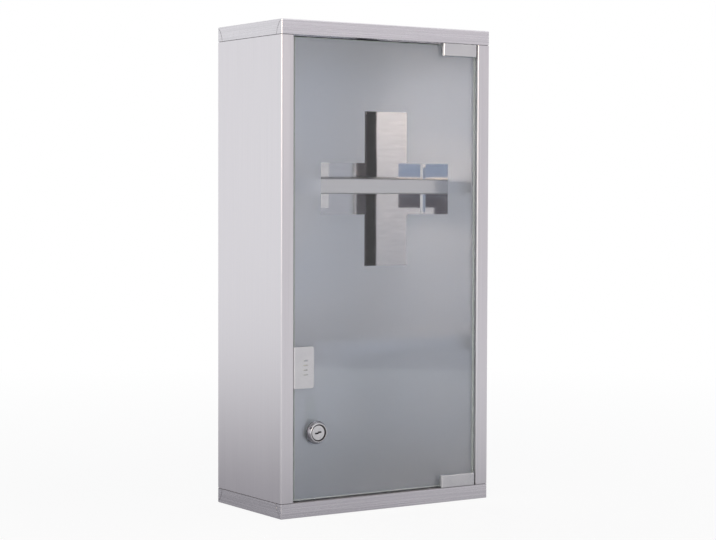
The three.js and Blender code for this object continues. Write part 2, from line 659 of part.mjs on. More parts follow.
// Rubber strip folded round the glass inside the clip.
function strikeLiner() {
  const edge = GLASS_FREE - LINER_SKIN;
  const reach = STRIKE_EDGE + STRIKE_BACK;
  const front = -LINER_SKIN;
  const back = PANE + LINER_SKIN;
  const fold = [point(reach, back), point(edge, back), point(edge, front), point(reach, front)];
  const half = STRIKE_TALL / 2 - STRIKE_CORNER;
  const strip = prismZ(foldedSheet(fold, LINER, BEND - STRIKE_SHEET), -half, half);
  return piece('strike_liner', strip, clearRubber);
}

// Cam lock, drawn about its axis with the glass front at y 0

const GASKET_FRONT = -SEAT - LOCK_GASKET;
const LOCK_FACE = -LOCK_PROUD;
const PLUG_FACE = LOCK_FACE + PLUG_SUNK;
const PLUG_SHOULDER = PLUG_FACE + PLUG_HEAD_DEEP;

function lockBarrel() {
  const base = LOCK_BASE / 2;
  const rim = LOCK_RIM / 2;
  const barrel = LOCK_BARREL / 2;
  const bezelBack = GASKET_FRONT - SEAT;
  const counterbore = PLUG_HEAD / 2 + RUN;
  const bore = PLUG_STEM / 2 + RUN;
  const profile = [
    [counterbore + LOCK_MOUTH, LOCK_FACE], [rim - LOCK_CHAMFER, LOCK_FACE], [rim, LOCK_FACE + LOCK_CHAMFER],
    [base, bezelBack - LOCK_FOOT], [base, bezelBack], [barrel, bezelBack], [barrel, BARREL_END],
    [bore, BARREL_END], [bore, PLUG_SHOULDER + RUN], [counterbore, PLUG_SHOULDER + RUN],
    [counterbore, LOCK_FACE + LOCK_MOUTH], [counterbore + LOCK_MOUTH, LOCK_FACE],
  ];
  return piece('lock_barrel', turnedY(profile), chrome);
}

// A flat ring on the barrel.
function lockWasher(name, front, thickness, ledge, material) {
  const outer = LOCK_BARREL / 2 + ledge;
  const disc = turnedY(ring([[outer, front], [outer, front + thickness]], LOCK_BARREL / 2 + SEAT));
  return piece(name, disc, material);
}

function lockNut() {
  const hexagon = circle(LOCK_NUT_FLATS / Math.sqrt(3), 6);
  const bore = circle(LOCK_BARREL / 2 + SEAT, ROUND_SIDES);
  const nut = prismY(hexagon, WASHER_BACK + SEAT, NUT_BACK, [bore]);
  return piece('lock_nut', nut, zincPlate);
}

// The keyway is two slots side by side, one half a step above the other.
function keyway() {
  const halfSlot = (side) => block(
    Math.min(0, side * KEYWAY_LENGTH / 2) - KEYWAY_WIDTH / 4,
    Math.max(0, side * KEYWAY_LENGTH / 2) + KEYWAY_WIDTH / 4,
    PLUG_FACE - PLUG_SUNK,
    PLUG_FACE + KEYWAY_DEEP,
    side * KEYWAY_STEP / 2 - KEYWAY_WIDTH / 2,
    side * KEYWAY_STEP / 2 + KEYWAY_WIDTH / 2,
  );
  return joined(halfSlot(-1), halfSlot(1));
}

function lockPlug() {
  const stem = PLUG_STEM / 2;
  const head = PLUG_HEAD / 2;
  const square = PLUG_SQUARE / 2;
  const body = turnedY([
    [0, PLUG_FACE], [head, PLUG_FACE], [head, PLUG_SHOULDER], [stem, PLUG_SHOULDER],
    [stem, BARREL_END], [0, BARREL_END],
  ]);
  const shank = block(-square, square, BARREL_END - CAM_THICK, CAM_BACK, -square, square);
  const screwHole = rodY(CAM_SCREW / 2 + SEAT, CAM_BACK - CAM_SCREW_LENGTH - SEAT, CAM_BACK + CAM_THICK);
  return piece('lock_plug', cut(joined(body, shank), keyway(), screwHole), chrome);
}

// The cam points up when the lock is open.
function lockCam() {
  const half = CAM_WIDTH / 2;
  const tip = CAM_REACH;
  const square = PLUG_SQUARE / 2 + SEAT;
  const outline = rectangle(-half, -half, half, tip, [half - RUN, half - RUN, half / 2, half / 2]);
  const hole = rectangle(-square, -square, square, square);
  return piece('lock_cam', prismY(outline, CAM_FRONT, CAM_BACK, [hole]), zincPlate);
}

function camScrew() {
  const head = CAM_SCREW_HEAD / 2;
  const shank = CAM_SCREW / 2;
  const under = CAM_BACK + SEAT;
  const profile = [
    [0, under - CAM_SCREW_LENGTH], [shank, under - CAM_SCREW_LENGTH], [shank, under], [head, under],
    [head, under + CAM_SCREW_HEAD_TALL / 2], [head / 2, under + CAM_SCREW_HEAD_TALL],
    [0, under + CAM_SCREW_HEAD_TALL],
  ];
  return piece('cam_screw', turnedY(profile, SMALL_SIDES), zincPlate);
}

// Push-to-open latch, drawn about the plunger's axis with the magnet's face at y 0

const PLUNGER_RADIUS = PLUNGER_DIAMETER / 2;
const LATCH_BACK = PLUNGER_SHOW + LATCH_LENGTH;
const BRACKET_TOP = -LATCH_TALL / 2 - SEAT;
const BRACKET_UNDER = BRACKET_TOP - BRACKET_SHEET;
const latchScrewPlaces = () => [-1, 1].map((end) => BRACKET_MIDDLE + end * LATCH_SCREW_SPACING / 2);

function latchHousing() {
  const half = LATCH_WIDTH / 2;
  const low = -LATCH_TALL / 2;
  const outline = rectangle(-half, low, half, -low, everyCorner(LATCH_ROUND));
  const box = prismY(outline, PLUNGER_SHOW, LATCH_BACK);
  const ear = block(
    -half - LATCH_EAR, 0,
    BRACKET_MIDDLE - BRACKET_LENGTH / 2, BRACKET_MIDDLE + BRACKET_LENGTH / 2,
    low, low + LATCH_EAR_TALL);
  const bore = rodY(PLUNGER_RADIUS + RUN, 0, PLUNGER_SHOW + LATCH_BORE_DEEP, ROUND_SIDES);
  const screwHole = rodZ(LATCH_SCREW / 2 + SEAT, low - SHEET, low + LATCH_SCREW_BITE + SEAT);
  const screwHoles = latchScrewPlaces().map((y) => screwHole.clone().translate(LATCH_EAR_MIDDLE, y, 0));
  return piece('latch_housing', cut(joined(box, ear), bore, ...screwHoles), greyPlastic);
}

// Angle bracket, welded to the left side panel, that the housing is screwed down on.
function latchBracket() {
  const wall = -INNER_HALF + SEAT - LATCH_X;
  const fold = [
    point(wall, BRACKET_UNDER + BRACKET_LEG),
    point(wall, BRACKET_UNDER),
    point(LATCH_WIDTH / 2, BRACKET_UNDER),
  ];
  const angle = prismY(foldedSheet(fold, BRACKET_SHEET, BEND),
    BRACKET_MIDDLE - BRACKET_LENGTH / 2, BRACKET_MIDDLE + BRACKET_LENGTH / 2);
  const hole = rodZ(LATCH_SCREW / 2 + SEAT, BRACKET_UNDER - SHEET, BRACKET_TOP + SHEET);
  const holes = latchScrewPlaces().map((y) => hole.clone().translate(LATCH_EAR_MIDDLE, y, 0));
  return piece('latch_bracket', cut(angle, ...holes), brushedSteel);
}

function latchScrew(name, y) {
  const head = LATCH_SCREW_HEAD / 2;
  const shank = LATCH_SCREW / 2;
  const under = BRACKET_UNDER - SEAT;
  const profile = [
    [0, under - LATCH_SCREW_HEAD_TALL], [head / 2, under - LATCH_SCREW_HEAD_TALL],
    [head, under - LATCH_SCREW_HEAD_TALL / 2], [head, under], [shank, under],
    [shank, -LATCH_TALL / 2 + LATCH_SCREW_BITE], [0, -LATCH_TALL / 2 + LATCH_SCREW_BITE],
  ];
  return piece(name, turnedZ(profile).translate(LATCH_EAR_MIDDLE, y, 0), zincPlate);
}

function latchPlunger() {
  const pocket = MAGNET_DIAMETER / 2 + SEAT;
  const floor = MAGNET_DEEP + SEAT;
  const end = PLUNGER_SHOW + PLUNGER_GRIP;
  const profile = [
    [0, floor], [pocket, floor], [pocket, MAGNET_PROUD], [PLUNGER_RADIUS, MAGNET_PROUD],
    [PLUNGER_RADIUS, end], [0, end],
  ];
  return piece('latch_plunger', turnedY(profile), whiteNylon);
}

function latchMagnet() {
  return piece('latch_magnet', rodY(MAGNET_DIAMETER / 2, 0, MAGNET_DEEP, ROUND_SIDES), ferrite);
}

// Coil spring between the plunger and the end of the bore, as one unbroken wire.
class Coil extends THREE.Curve {
  constructor(radius, start, length, turns) {
    super();
    Object.assign(this, { radius, start, length, turns });
  }

  getPoint(t, target = new THREE.Vector3()) {
    const angle = 2 * Math.PI * this.turns * t;
    return target.set(
      this.radius * Math.cos(angle), this.start + this.length * t, this.radius * Math.sin(angle));
  }
}

function latchSpring() {
  const wire = SPRING_WIRE / 2;
  const start = PLUNGER_SHOW + PLUNGER_GRIP + SEAT + wire;
  const length = SPRING_ROOM - 2 * SEAT - SPRING_WIRE;
  const coil = new Coil(PLUNGER_RADIUS - SPRING_WIRE, start, length, SPRING_TURNS);
  const steps = SPRING_TURNS * SPRING_STEPS;
  const along = coil.getPoints(steps);
  const gaps = along.flatMap((a, i) => along.slice(i + SPRING_STEPS / 2).map((b) => a.distanceTo(b)));
  console.log(`latch_spring: least gap to itself ${(Math.min(...gaps) - SPRING_WIRE).toFixed(2)} mm`);
  const section = new THREE.Shape(circle(wire, SPRING_SIDES));
  const wound = new THREE.ExtrudeGeometry(section, { steps, extrudePath: coil });
  return piece('latch_spring', wound, springSteel);
}

// Assembly

const cabinetCase = group(
  mirroredX(sidePanel('left_side_panel')),
  sidePanel('right_side_panel'),
  backPanel(),
  mirroredX(cornerBar('corner_bar_left')),
  cornerBar('corner_bar_right'),
  shelf('lower', LOWER_SHELF),
  shelf('upper', UPPER_SHELF),
);
const topCap = cap('top_cap');
topCap.position.z = CABINET_HEIGHT;
cabinetCase.add(topCap, mirroredZ(cap('bottom_cap')));
for (const end of ['top', 'bottom']) cabinetCase.add(atJamb(end, hingeBush(`${end}_hinge_bush`)));

const latch = group(
  latchHousing(),
  latchBracket(),
  ...latchScrewPlaces().map((y, i) => latchScrew(`latch_screw_${i + 1}`, y)),
  latchSpring(),
  latchPlunger(),
  latchMagnet(),
);
latch.position.set(LATCH_X, STRIKE_REAR + SEAT, LATCH_Z);

const pane = group(doorGlass(), frostedFilm());
pane.position.set(GLASS_MIDDLE, GLASS_FRONT, GLASS_FOOT);

const strikeClip = group(strike(), strikeLiner());
strikeClip.position.set(0, GLASS_FRONT, LATCH_Z);

const lock = group(
  lockBarrel(),
  lockWasher('lock_gasket', GASKET_FRONT, LOCK_GASKET, LOCK_GASKET_LEDGE, blackRubber),
  lockWasher('lock_washer', PANE + SEAT, LOCK_WASHER, LOCK_WASHER_LEDGE, zincPlate),
  lockNut(),
  lockPlug(),
  lockCam(),
  camScrew(),
);
lock.position.set(LOCK_X, GLASS_FRONT, LOCK_Z);

const door = group(pane, strikeClip, lock);
for (const end of ['top', 'bottom']) door.add(atJamb(end, hingeOnDoor(end)));

const cabinet = group(cabinetCase, latch, door);

export default cabinet;
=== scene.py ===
"""Wall medicine cabinet in folded stainless steel with a frosted glass door: finishes, light and camera."""
import json
from math import cos, hypot, pi, radians, sin

import bmesh
import bpy
from mathutils import Matrix, Vector


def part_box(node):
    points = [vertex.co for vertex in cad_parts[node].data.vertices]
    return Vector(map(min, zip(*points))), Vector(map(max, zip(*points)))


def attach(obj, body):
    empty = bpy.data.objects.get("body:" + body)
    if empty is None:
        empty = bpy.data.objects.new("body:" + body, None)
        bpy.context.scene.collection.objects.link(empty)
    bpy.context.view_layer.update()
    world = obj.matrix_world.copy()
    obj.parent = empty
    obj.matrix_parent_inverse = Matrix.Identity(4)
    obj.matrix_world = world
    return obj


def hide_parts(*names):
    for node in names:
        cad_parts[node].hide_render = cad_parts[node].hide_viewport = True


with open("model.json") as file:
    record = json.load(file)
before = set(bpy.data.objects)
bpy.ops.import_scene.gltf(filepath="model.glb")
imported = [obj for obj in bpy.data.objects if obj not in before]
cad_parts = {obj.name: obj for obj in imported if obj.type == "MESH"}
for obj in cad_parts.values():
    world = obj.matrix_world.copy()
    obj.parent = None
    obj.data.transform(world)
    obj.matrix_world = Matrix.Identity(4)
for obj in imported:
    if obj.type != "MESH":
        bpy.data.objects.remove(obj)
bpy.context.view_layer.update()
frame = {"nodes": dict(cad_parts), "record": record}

MM = 0.001
BODY_OF = {node: body for body, nodes in frame["record"]["behaviour"]["bodies"].items() for node in nodes}

# Places read from the frame, in millimetres


def box_mm(node):
    """A node's lowest and highest corner."""
    low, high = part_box(node)
    return low / MM, high / MM


CASE_LOW, CASE_HIGH = box_mm("bottom_cap")[0], box_mm("top_cap")[1]
PANEL_LOW = box_mm("right_side_panel")[0]
GLASS_HIGH = box_mm("door_glass")[1]
BACK_LOW, BACK_HIGH = box_mm("back_panel")
BARREL_LOW, BARREL_HIGH = box_mm("lock_barrel")
NUT_HIGH = box_mm("lock_nut")[1]
PLUG_LOW, PLUG_HIGH = box_mm("lock_plug")
STRIKE_LOW, STRIKE_HIGH = box_mm("strike_plate")
LOW_JOINT, HIGH_JOINT = box_mm("bottom_cap")[1].z, box_mm("top_cap")[0].z
CASE_MIDDLE = (CASE_LOW + CASE_HIGH) / 2
CASE_HALF = (CASE_HIGH - CASE_LOW) / 2
LOCK_AXIS = (BARREL_LOW + BARREL_HIGH) / 2
PLUG_RADIUS = (PLUG_HIGH.x - PLUG_LOW.x) / 2

# Sizes that the frame doesn't give, in millimetres
SHEET = 0.8
FOLD = 1.8  # outside radius of a folded edge
JOINT = 0.8  # open joint between a cap and the panels
KEYWAY_REACH = 5  # half of the square that holds the keyway
MOUTH = 1.5  # width of the groove round the lock's turning face
MOUTH_DEEP = 1.5
THREAD_RADIUS = 9
THREAD_PITCH = 1.0
THREAD_RIDGE = 0.3
LATCH_SHEET = 1.2  # the latch bracket's
WELD_RADIUS = 2.2
WELD_PROUD = 0.12
WELD_PITCH = 30
WELD_MARGIN = 2 * WELD_RADIUS  # kept free at the ends of a rail
GRIP_BARS = 4  # raised bars on the push plate
GRIP_BAR_PITCH = 5.5
GRIP_BAR_LENGTH = 7
GRIP_BAR_WIDTH = 1.8
GRIP_BAR_PROUD = 0.45
GRIP_BAR_ASIDE = 2.5  # to the right of the plate's middle
SCREW_CROSS_WIDTH = 0.9
SCREW_CROSS_DEEP = 1.2
LATCH_SCREW_CROSS = 3.4  # from tip to tip
CAM_SCREW_CROSS = 4.2
MERGE_WITHIN = 0.002  # points of a CAD mesh that are closer are one

FLAT_WITHIN = radians(1)  # facets that differ by less are one face
EDGE_FROM = radians(35)  # a sharper corner is an edge, and is broken

# How far a face's normal points along an axis, from 0 to 1
SQUARE, STEEP, HALF, SLIGHT = 0.9, 0.7, 0.5, 0.1

# The photograph's camera
CAMERA_PLACE = Vector((-1266.7, -1932.3, 379.0)) * MM
CAMERA_YAW = radians(33.365)  # from +Y towards +X
CAMERA_PITCH = radians(-2.334)
CAMERA_ROLL = radians(0.175)
CAMERA_LENS = 94.4
CAMERA_SENSOR = 36


# Helpers

def linear(code):
    """An sRGB hex colour as linear RGBA."""
    values = [int(code[i:i + 2], 16) / 255 for i in (1, 3, 5)]
    return [v / 12.92 if v <= 0.04045 else ((v + 0.055) / 1.055) ** 2.4 for v in values] + [1.0]


def add(tree, kind, inputs=None, **settings):
    """Adds a node with its settings. An input that is a node or a socket is linked, and any other is set."""
    made = tree.nodes.new(kind)
    for name, value in settings.items():
        setattr(made, name, value)
    for name, value in (inputs or {}).items():
        if isinstance(value, bpy.types.Node):
            value = next(socket for socket in value.outputs if socket.enabled)
        if isinstance(value, bpy.types.NodeSocket):
            tree.links.new(value, made.inputs[name])
        else:
            made.inputs[name].default_value = value
    return made


# A colour mix's inputs, which share their names with other kinds of mix
MIX_FACTOR, MIX_FIRST, MIX_SECOND = 0, 6, 7


def blank_material(name):
    """A material with an empty tree."""
    made = bpy.data.materials.new(name)
    made.use_nodes = True
    made.node_tree.nodes.clear()
    return made, made.node_tree


def grain(tree, size, detail=2.0):
    """A value from 0 to 1 that wanders over about size, (x, y, z) in millimetres, on Object coordinates."""
    place = add(tree, "ShaderNodeTexCoord").outputs["Object"]
    mapped = add(tree, "ShaderNodeMapping", {"Vector": place, "Scale": [1 / (s * MM) for s in size]})
    noise = add(tree, "ShaderNodeTexNoise", {"Vector": mapped, "Scale": 1.0, "Detail": detail})
    # Noise seldom leaves this range, which is stretched to the whole of 0 to 1
    return add(tree, "ShaderNodeMapRange", {"Value": noise, "From Min": 0.3, "From Max": 0.7})


# Materials

def brushed_stainless(name, along, dark="#D8D6DB", light="#DDDBE0", smooth=0.33, rough=0.42):
    """Stainless sheet, belt brushed: fine parallel scratches blur its reflections across their way.

    The scratches are drawn about thirty times as wide as they are, so that they show in the render.
    """
    made, tree = blank_material(name)
    wide, long, deep = 1.4, 160, 0.006  # millimetres
    way = "xyz".index(along)
    size = [wide, wide, wide]
    size[way] = long
    scratch = grain(tree, size, detail=3.0)
    colour = add(tree, "ShaderNodeMix", {
        MIX_FACTOR: scratch, MIX_FIRST: linear(dark), MIX_SECOND: linear(light)}, data_type="RGBA")
    roughness = add(tree, "ShaderNodeMapRange", {"Value": scratch, "To Min": smooth, "To Max": rough})
    normal = add(tree, "ShaderNodeBump", {"Height": scratch, "Distance": deep * MM})
    scratched_way = add(tree, "ShaderNodeCombineXYZ", {way: 1.0})
    surface = add(tree, "ShaderNodeBsdfPrincipled", {
        "Base Color": colour, "Metallic": 1.0, "Roughness": roughness, "Normal": normal,
        "Anisotropic": 0.6, "Anisotropic Rotation": 0.25, "Tangent": scratched_way})
    add(tree, "ShaderNodeOutputMaterial", {"Surface": surface})
    return made


def bright_stainless(name, lean=(0, 0, 0)):
    """Stainless sheet, bright rolled: close to a mirror, with the faint waves of thin sheet.

    lean is the slope by which a sheet stands out of true, which moves what it mirrors.
    """
    made, tree = blank_material(name)
    haze = grain(tree, (30, 30, 4), detail=3.0)
    wave = grain(tree, (60, 60, 110), detail=1.0)
    wave_height = 0.05 * MM
    place = add(tree, "ShaderNodeTexCoord").outputs["Object"]
    rise = add(tree, "ShaderNodeVectorMath", {0: place, 1: lean}, operation="DOT_PRODUCT").outputs["Value"]
    height = add(tree, "ShaderNodeMath", {0: wave, 1: wave_height, 2: rise}, operation="MULTIPLY_ADD")
    colour = add(tree, "ShaderNodeMix", {
        MIX_FACTOR: haze, MIX_FIRST: linear("#DEDCDE"), MIX_SECOND: linear("#E5E3E4")}, data_type="RGBA")
    roughness = add(tree, "ShaderNodeMapRange", {"Value": haze, "To Min": 0.035, "To Max": 0.06})
    normal = add(tree, "ShaderNodeBump", {"Height": height, "Distance": 1.0})
    surface = add(tree, "ShaderNodeBsdfPrincipled", {
        "Base Color": colour, "Metallic": 1.0, "Roughness": roughness, "Normal": normal})
    add(tree, "ShaderNodeOutputMaterial", {"Surface": surface})
    return made


def satin_nickel(name):
    """Steel pressing, satin nickel plated: an even, softly blurred shine."""
    made, tree = blank_material(name)
    blast = grain(tree, (0.4, 0.4, 0.4), detail=3.0)
    cloud = grain(tree, (18, 18, 18))
    colour = add(tree, "ShaderNodeMix", {
        MIX_FACTOR: cloud, MIX_FIRST: linear("#D2D2D5"), MIX_SECOND: linear("#DADADC")}, data_type="RGBA")
    roughness = add(tree, "ShaderNodeMapRange", {"Value": blast, "To Min": 0.26, "To Max": 0.36})
    normal = add(tree, "ShaderNodeBump", {"Height": blast, "Distance": 0.004 * MM})
    surface = add(tree, "ShaderNodeBsdfPrincipled", {
        "Base Color": colour, "Metallic": 1.0, "Roughness": roughness, "Normal": normal})
    add(tree, "ShaderNodeOutputMaterial", {"Surface": surface})
    return made


def metal_skin(name, dark, light, smoothest, roughest, size):
    """Metal as it was plated, cast, drawn, rolled or heated: haze and tint drift in blooms of size mm."""
    made, tree = blank_material(name)
    bloom = grain(tree, (size, size, size), detail=3.0)
    colour = add(tree, "ShaderNodeMix", {
        MIX_FACTOR: bloom, MIX_FIRST: linear(dark), MIX_SECOND: linear(light)}, data_type="RGBA")
    roughness = add(tree, "ShaderNodeMapRange", {"Value": bloom, "To Min": smoothest, "To Max": roughest})
    surface = add(tree, "ShaderNodeBsdfPrincipled", {
        "Base Color": colour, "Metallic": 1.0, "Roughness": roughness})
    add(tree, "ShaderNodeOutputMaterial", {"Surface": surface})
    return made


def float_glass(name):
    """Float glass, polished: clear, with a mirror that grows towards a glancing view."""
    made, tree = blank_material(name)
    facing = add(tree, "ShaderNodeLayerWeight", {"Blend": 0.5}).outputs["Facing"]
    steep = add(tree, "ShaderNodeMath", {0: facing, 1: 5.0}, operation="POWER")
    mirror = add(tree, "ShaderNodeMapRange", {"Value": steep, "To Min": 0.04, "To Max": 1.0})
    smear = grain(tree, (40, 40, 90))
    roughness = add(tree, "ShaderNodeMapRange", {"Value": smear, "To Min": 0.01, "To Max": 0.03})
    clear = add(tree, "ShaderNodeBsdfTransparent", {"Color": linear("#FDFEFE")})
    gloss = add(tree, "ShaderNodeBsdfPrincipled", {
        "Base Color": (1, 1, 1, 1), "Metallic": 1.0, "Roughness": roughness})
    surface = add(tree, "ShaderNodeMixShader", {0: mirror, 1: clear, 2: gloss})
    add(tree, "ShaderNodeOutputMaterial", {"Surface": surface})
    return made


def ground_glass_edge(name):
    """Float glass, ground edge: pale green-grey from the glass behind it, and dull from the wheel."""
    made, tree = blank_material(name)
    wheel = grain(tree, (0.6, 0.6, 6), detail=3.0)
    colour = add(tree, "ShaderNodeMix", {
        MIX_FACTOR: wheel, MIX_FIRST: linear("#B9C4C1"), MIX_SECOND: linear("#C6D0CD")}, data_type="RGBA")
    roughness = add(tree, "ShaderNodeMapRange", {"Value": wheel, "To Min": 0.3, "To Max": 0.45})
    surface = add(tree, "ShaderNodeBsdfPrincipled", {
        "Base Color": colour, "Transmission Weight": 0.35, "Roughness": roughness, "IOR": 1.5})
    add(tree, "ShaderNodeOutputMaterial", {"Surface": surface})
    return made


def frosted_glass(name):
    """Glass, acid etched: a pale blue-grey veil that scatters what is behind it."""
    made, tree = blank_material(name)
    etch = grain(tree, (0.35, 0.35, 0.35), detail=3.0)
    veil = grain(tree, (160, 160, 120), detail=1.0)
    colour = add(tree, "ShaderNodeMix", {
        MIX_FACTOR: veil, MIX_FIRST: linear("#EFF5FF"), MIX_SECOND: linear("#F5F8FF")}, data_type="RGBA")
    roughness = add(tree, "ShaderNodeMapRange", {"Value": etch, "To Min": 0.4, "To Max": 0.5})
    normal = add(tree, "ShaderNodeBump", {"Height": etch, "Distance": 0.01 * MM})
    surface = add(tree, "ShaderNodeBsdfPrincipled", {
        "Base Color": colour, "Transmission Weight": 0.87, "Roughness": roughness, "IOR": 1.45,
        "Normal": normal})
    add(tree, "ShaderNodeOutputMaterial", {"Surface": surface})
    return made


def moulded(name, dark, light, roughness):
    """Moulded plastic, rubber or sintered ferrite: even colour, with the fine texture of the mould."""
    made, tree = blank_material(name)
    spark = grain(tree, (0.5, 0.5, 0.5), detail=3.0)
    flow = grain(tree, (12, 12, 12))
    colour = add(tree, "ShaderNodeMix", {
        MIX_FACTOR: flow, MIX_FIRST: linear(dark), MIX_SECOND: linear(light)}, data_type="RGBA")
    dullness = add(tree, "ShaderNodeMapRange", {
        "Value": spark, "To Min": roughness - 0.06, "To Max": roughness + 0.06})
    normal = add(tree, "ShaderNodeBump", {"Height": spark, "Distance": 0.01 * MM})
    surface = add(tree, "ShaderNodeBsdfPrincipled", {
        "Base Color": colour, "Roughness": dullness, "Normal": normal})
    add(tree, "ShaderNodeOutputMaterial", {"Surface": surface})
    return made


# Outer faces: an even satin grey, with fine upright lines on the panels and level ones on the caps
STAINLESS_UPRIGHT = brushed_stainless("stainless_brushed_upright", "z")
STAINLESS_ACROSS = brushed_stainless(
    "stainless_brushed_across", "x", "#D9D7DC", "#E6E4E9", smooth=0.22, rough=0.3)
# Ends of the caps and the small angles: a shade darker, with lines from front to back. On the caps' ends the
# darker colour is painted shade
STAINLESS_DEEP = brushed_stainless(
    "stainless_brushed_deep", "y", "#CBC9CE", "#D8D6DB", smooth=0.22, rough=0.3)
# Shelves and the floor of the case: a broad soft sheen
STAINLESS_DULL = brushed_stainless("stainless_dull_rolled", "x", "#C9C8CC", "#CFCED2", smooth=0.4, rough=0.5)
# Ends of the panels and the channel behind the front face: a dark colour that is painted shade in the joints
# with the caps and in the channel, so that the joints read as dark lines
STAINLESS_JOINT_SHADE = metal_skin("stainless_painted_joint_shade", "#7C7A7E", "#8A888C", 0.12, 0.2, 8)
# Flange below the door: matt and a shade darker, painted shade under the door, so that the gap above it
# stays dark
STAINLESS_FLANGE_SHADE = metal_skin("stainless_painted_shade_under_door", "#A8A6AA", "#B2B0B4", 0.8, 0.9, 6)
# Inner faces: the mirror that shows through the cross. The bars lean, and give one bright upright line
STAINLESS_BRIGHT = bright_stainless("stainless_bright_rolled")
STAINLESS_BACK = bright_stainless("stainless_bright_rolled_back", lean=(0, 0, 0.0205))
STAINLESS_BAR = bright_stainless("stainless_bright_rolled_bar", lean=(0, 0.05, 0))
# Clamps and push plate: pale and softly blurred
SATIN_NICKEL = satin_nickel("steel_satin_nickel_plated")
# The lock: a mirror on its face, and the same chrome greyer on its skirt as painted shade; dark in the
# keyway and the groove, bare cast metal with painted shade
CHROME = metal_skin("zinc_alloy_chrome_plated", "#D0CFD2", "#DAD9DB", 0.05, 0.1, 3)
CHROME_SKIRT_SHADE = metal_skin("zinc_alloy_chrome_plated_painted_shade", "#A6A4A9", "#B4B2B7", 0.06, 0.12, 3)
CAST_ZINC_AND_SHADE = metal_skin("zinc_alloy_as_cast_painted_shade", "#3A383B", "#4A484B", 0.45, 0.6, 1)
# Screws, pins and cam: a dull shine between blue and straw. The spring: plain drawn grey
ZINC = metal_skin("steel_bright_zinc_plated", "#B5BABF", "#C8C6BB", 0.24, 0.36, 5)
SPRING_WIRE = metal_skin("steel_spring_wire_drawn", "#9A9B9D", "#AEAFB0", 0.24, 0.34, 2)
# The pane: clear on its faces, pale green on its edges, veiled by the frosting
GLASS = float_glass("float_glass_polished")
GLASS_EDGE = ground_glass_edge("float_glass_ground_edge")
FROST = frosted_glass("glass_acid_etched")
# Liners, bushes and latch: matt, in black, milky, white and greys
BLACK_RUBBER = moulded("rubber_black_moulded", "#1F1F22", "#2A2A2D", 0.7)
CLEAR_RUBBER = moulded("rubber_clear_extruded", "#BFC4C8", "#CDD1D4", 0.5)
NYLON = moulded("nylon_white_moulded", "#DEDED8", "#EAEAE5", 0.45)
GREY_ABS = moulded("abs_grey_moulded", "#85878C", "#94969B", 0.5)
FERRITE = moulded("ferrite_sintered", "#303033", "#434347", 0.6)


# Dressing the CAD nodes

def linked_object(name, mesh):
    """An object in the scene."""
    made = bpy.data.objects.new(name, mesh)
    bpy.context.scene.collection.objects.link(made)
    return made


def settle(piece):
    """Turns a piece's evaluated shape into its plain mesh and removes its modifiers."""
    bpy.context.view_layer.update()
    evaluated = piece.evaluated_get(bpy.context.evaluated_depsgraph_get())
    mesh = bpy.data.meshes.new_from_object(evaluated)
    mesh.name = piece.name
    piece.modifiers.clear()
    piece.data = mesh


def dressed(node, materials, edge=0.15, choose=None, cutter=None):
    """A copy of a CAD node with its facets joined, its edges broken by edge mm and its folds shaded smooth.

    choose gives a face's place among the materials from its middle, in millimetres, and its normal.
    cutter is a solid that is cut out of the piece and then thrown away.
    """
    mesh = bpy.data.meshes.new(node)
    work = bmesh.new()
    work.from_mesh(frame["nodes"][node].data)
    bmesh.ops.remove_doubles(work, verts=work.verts, dist=MERGE_WITHIN * MM)
    bmesh.ops.dissolve_limit(work, angle_limit=FLAT_WITHIN, verts=work.verts, edges=work.edges)
    work.to_mesh(mesh)
    work.free()
    mesh.polygons.foreach_set("use_smooth", [True] * len(mesh.polygons))
    piece = linked_object(node + "_finish", mesh)
    if cutter:
        recess = piece.modifiers.new("recess", "BOOLEAN")
        recess.object = cutter
        recess.solver = "EXACT"
    bevel = piece.modifiers.new("broken edge", "BEVEL")
    bevel.width = edge * MM
    bevel.segments = 2
    bevel.limit_method = "ANGLE"
    bevel.angle_limit = EDGE_FROM
    smooth = piece.modifiers.new("flat faces stay flat", "WEIGHTED_NORMAL")
    smooth.weight = 100
    settle(piece)
    if cutter:
        bpy.data.objects.remove(cutter)
    piece.data.materials.clear()
    for each in materials:
        piece.data.materials.append(each)
    for face in piece.data.polygons:
        face.material_index = choose(face.center / MM, face.normal) if choose else 0
    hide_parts(node)
    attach(piece, BODY_OF[node])


def depth_in_case(place):
    """How far a place lies below the outside of the case, a box with folded edges."""
    beyond = [abs(p - m) - (h - FOLD) for p, m, h in zip(place, CASE_MIDDLE, CASE_HALF)]
    return FOLD - hypot(*(max(b, 0) for b in beyond)) - min(max(beyond), 0)


def inside_case(place, normal):
    """1 on the bright inner faces of the case's sheets, 0 on their brushed outer faces."""
    return 0 if depth_in_case(place) < SHEET / 2 else 1


def inside_panel(place, normal):
    """The same for a side panel, whose lip turns its outer face to the door.

    2 on the ends inside the caps and in the channel behind the front face, which take a dark colour as
    painted shade.
    """
    if not LOW_JOINT + JOINT + SHEET / 4 < place.z < HIGH_JOINT - JOINT - SHEET / 4:
        return 2
    outwards = normal.x * (1 if place.x > 0 else -1)
    by_the_door = abs(place.x) < PANEL_LOW.x + FOLD and place.y < GLASS_HIGH.y + FOLD
    if by_the_door and -outwards - normal.y > SLIGHT:
        return 0
    in_channel = place.y < GLASS_HIGH.y + FOLD and outwards + normal.y > SLIGHT
    return 2 if in_channel and depth_in_case(place) > SHEET / 2 else inside_case(place, normal)


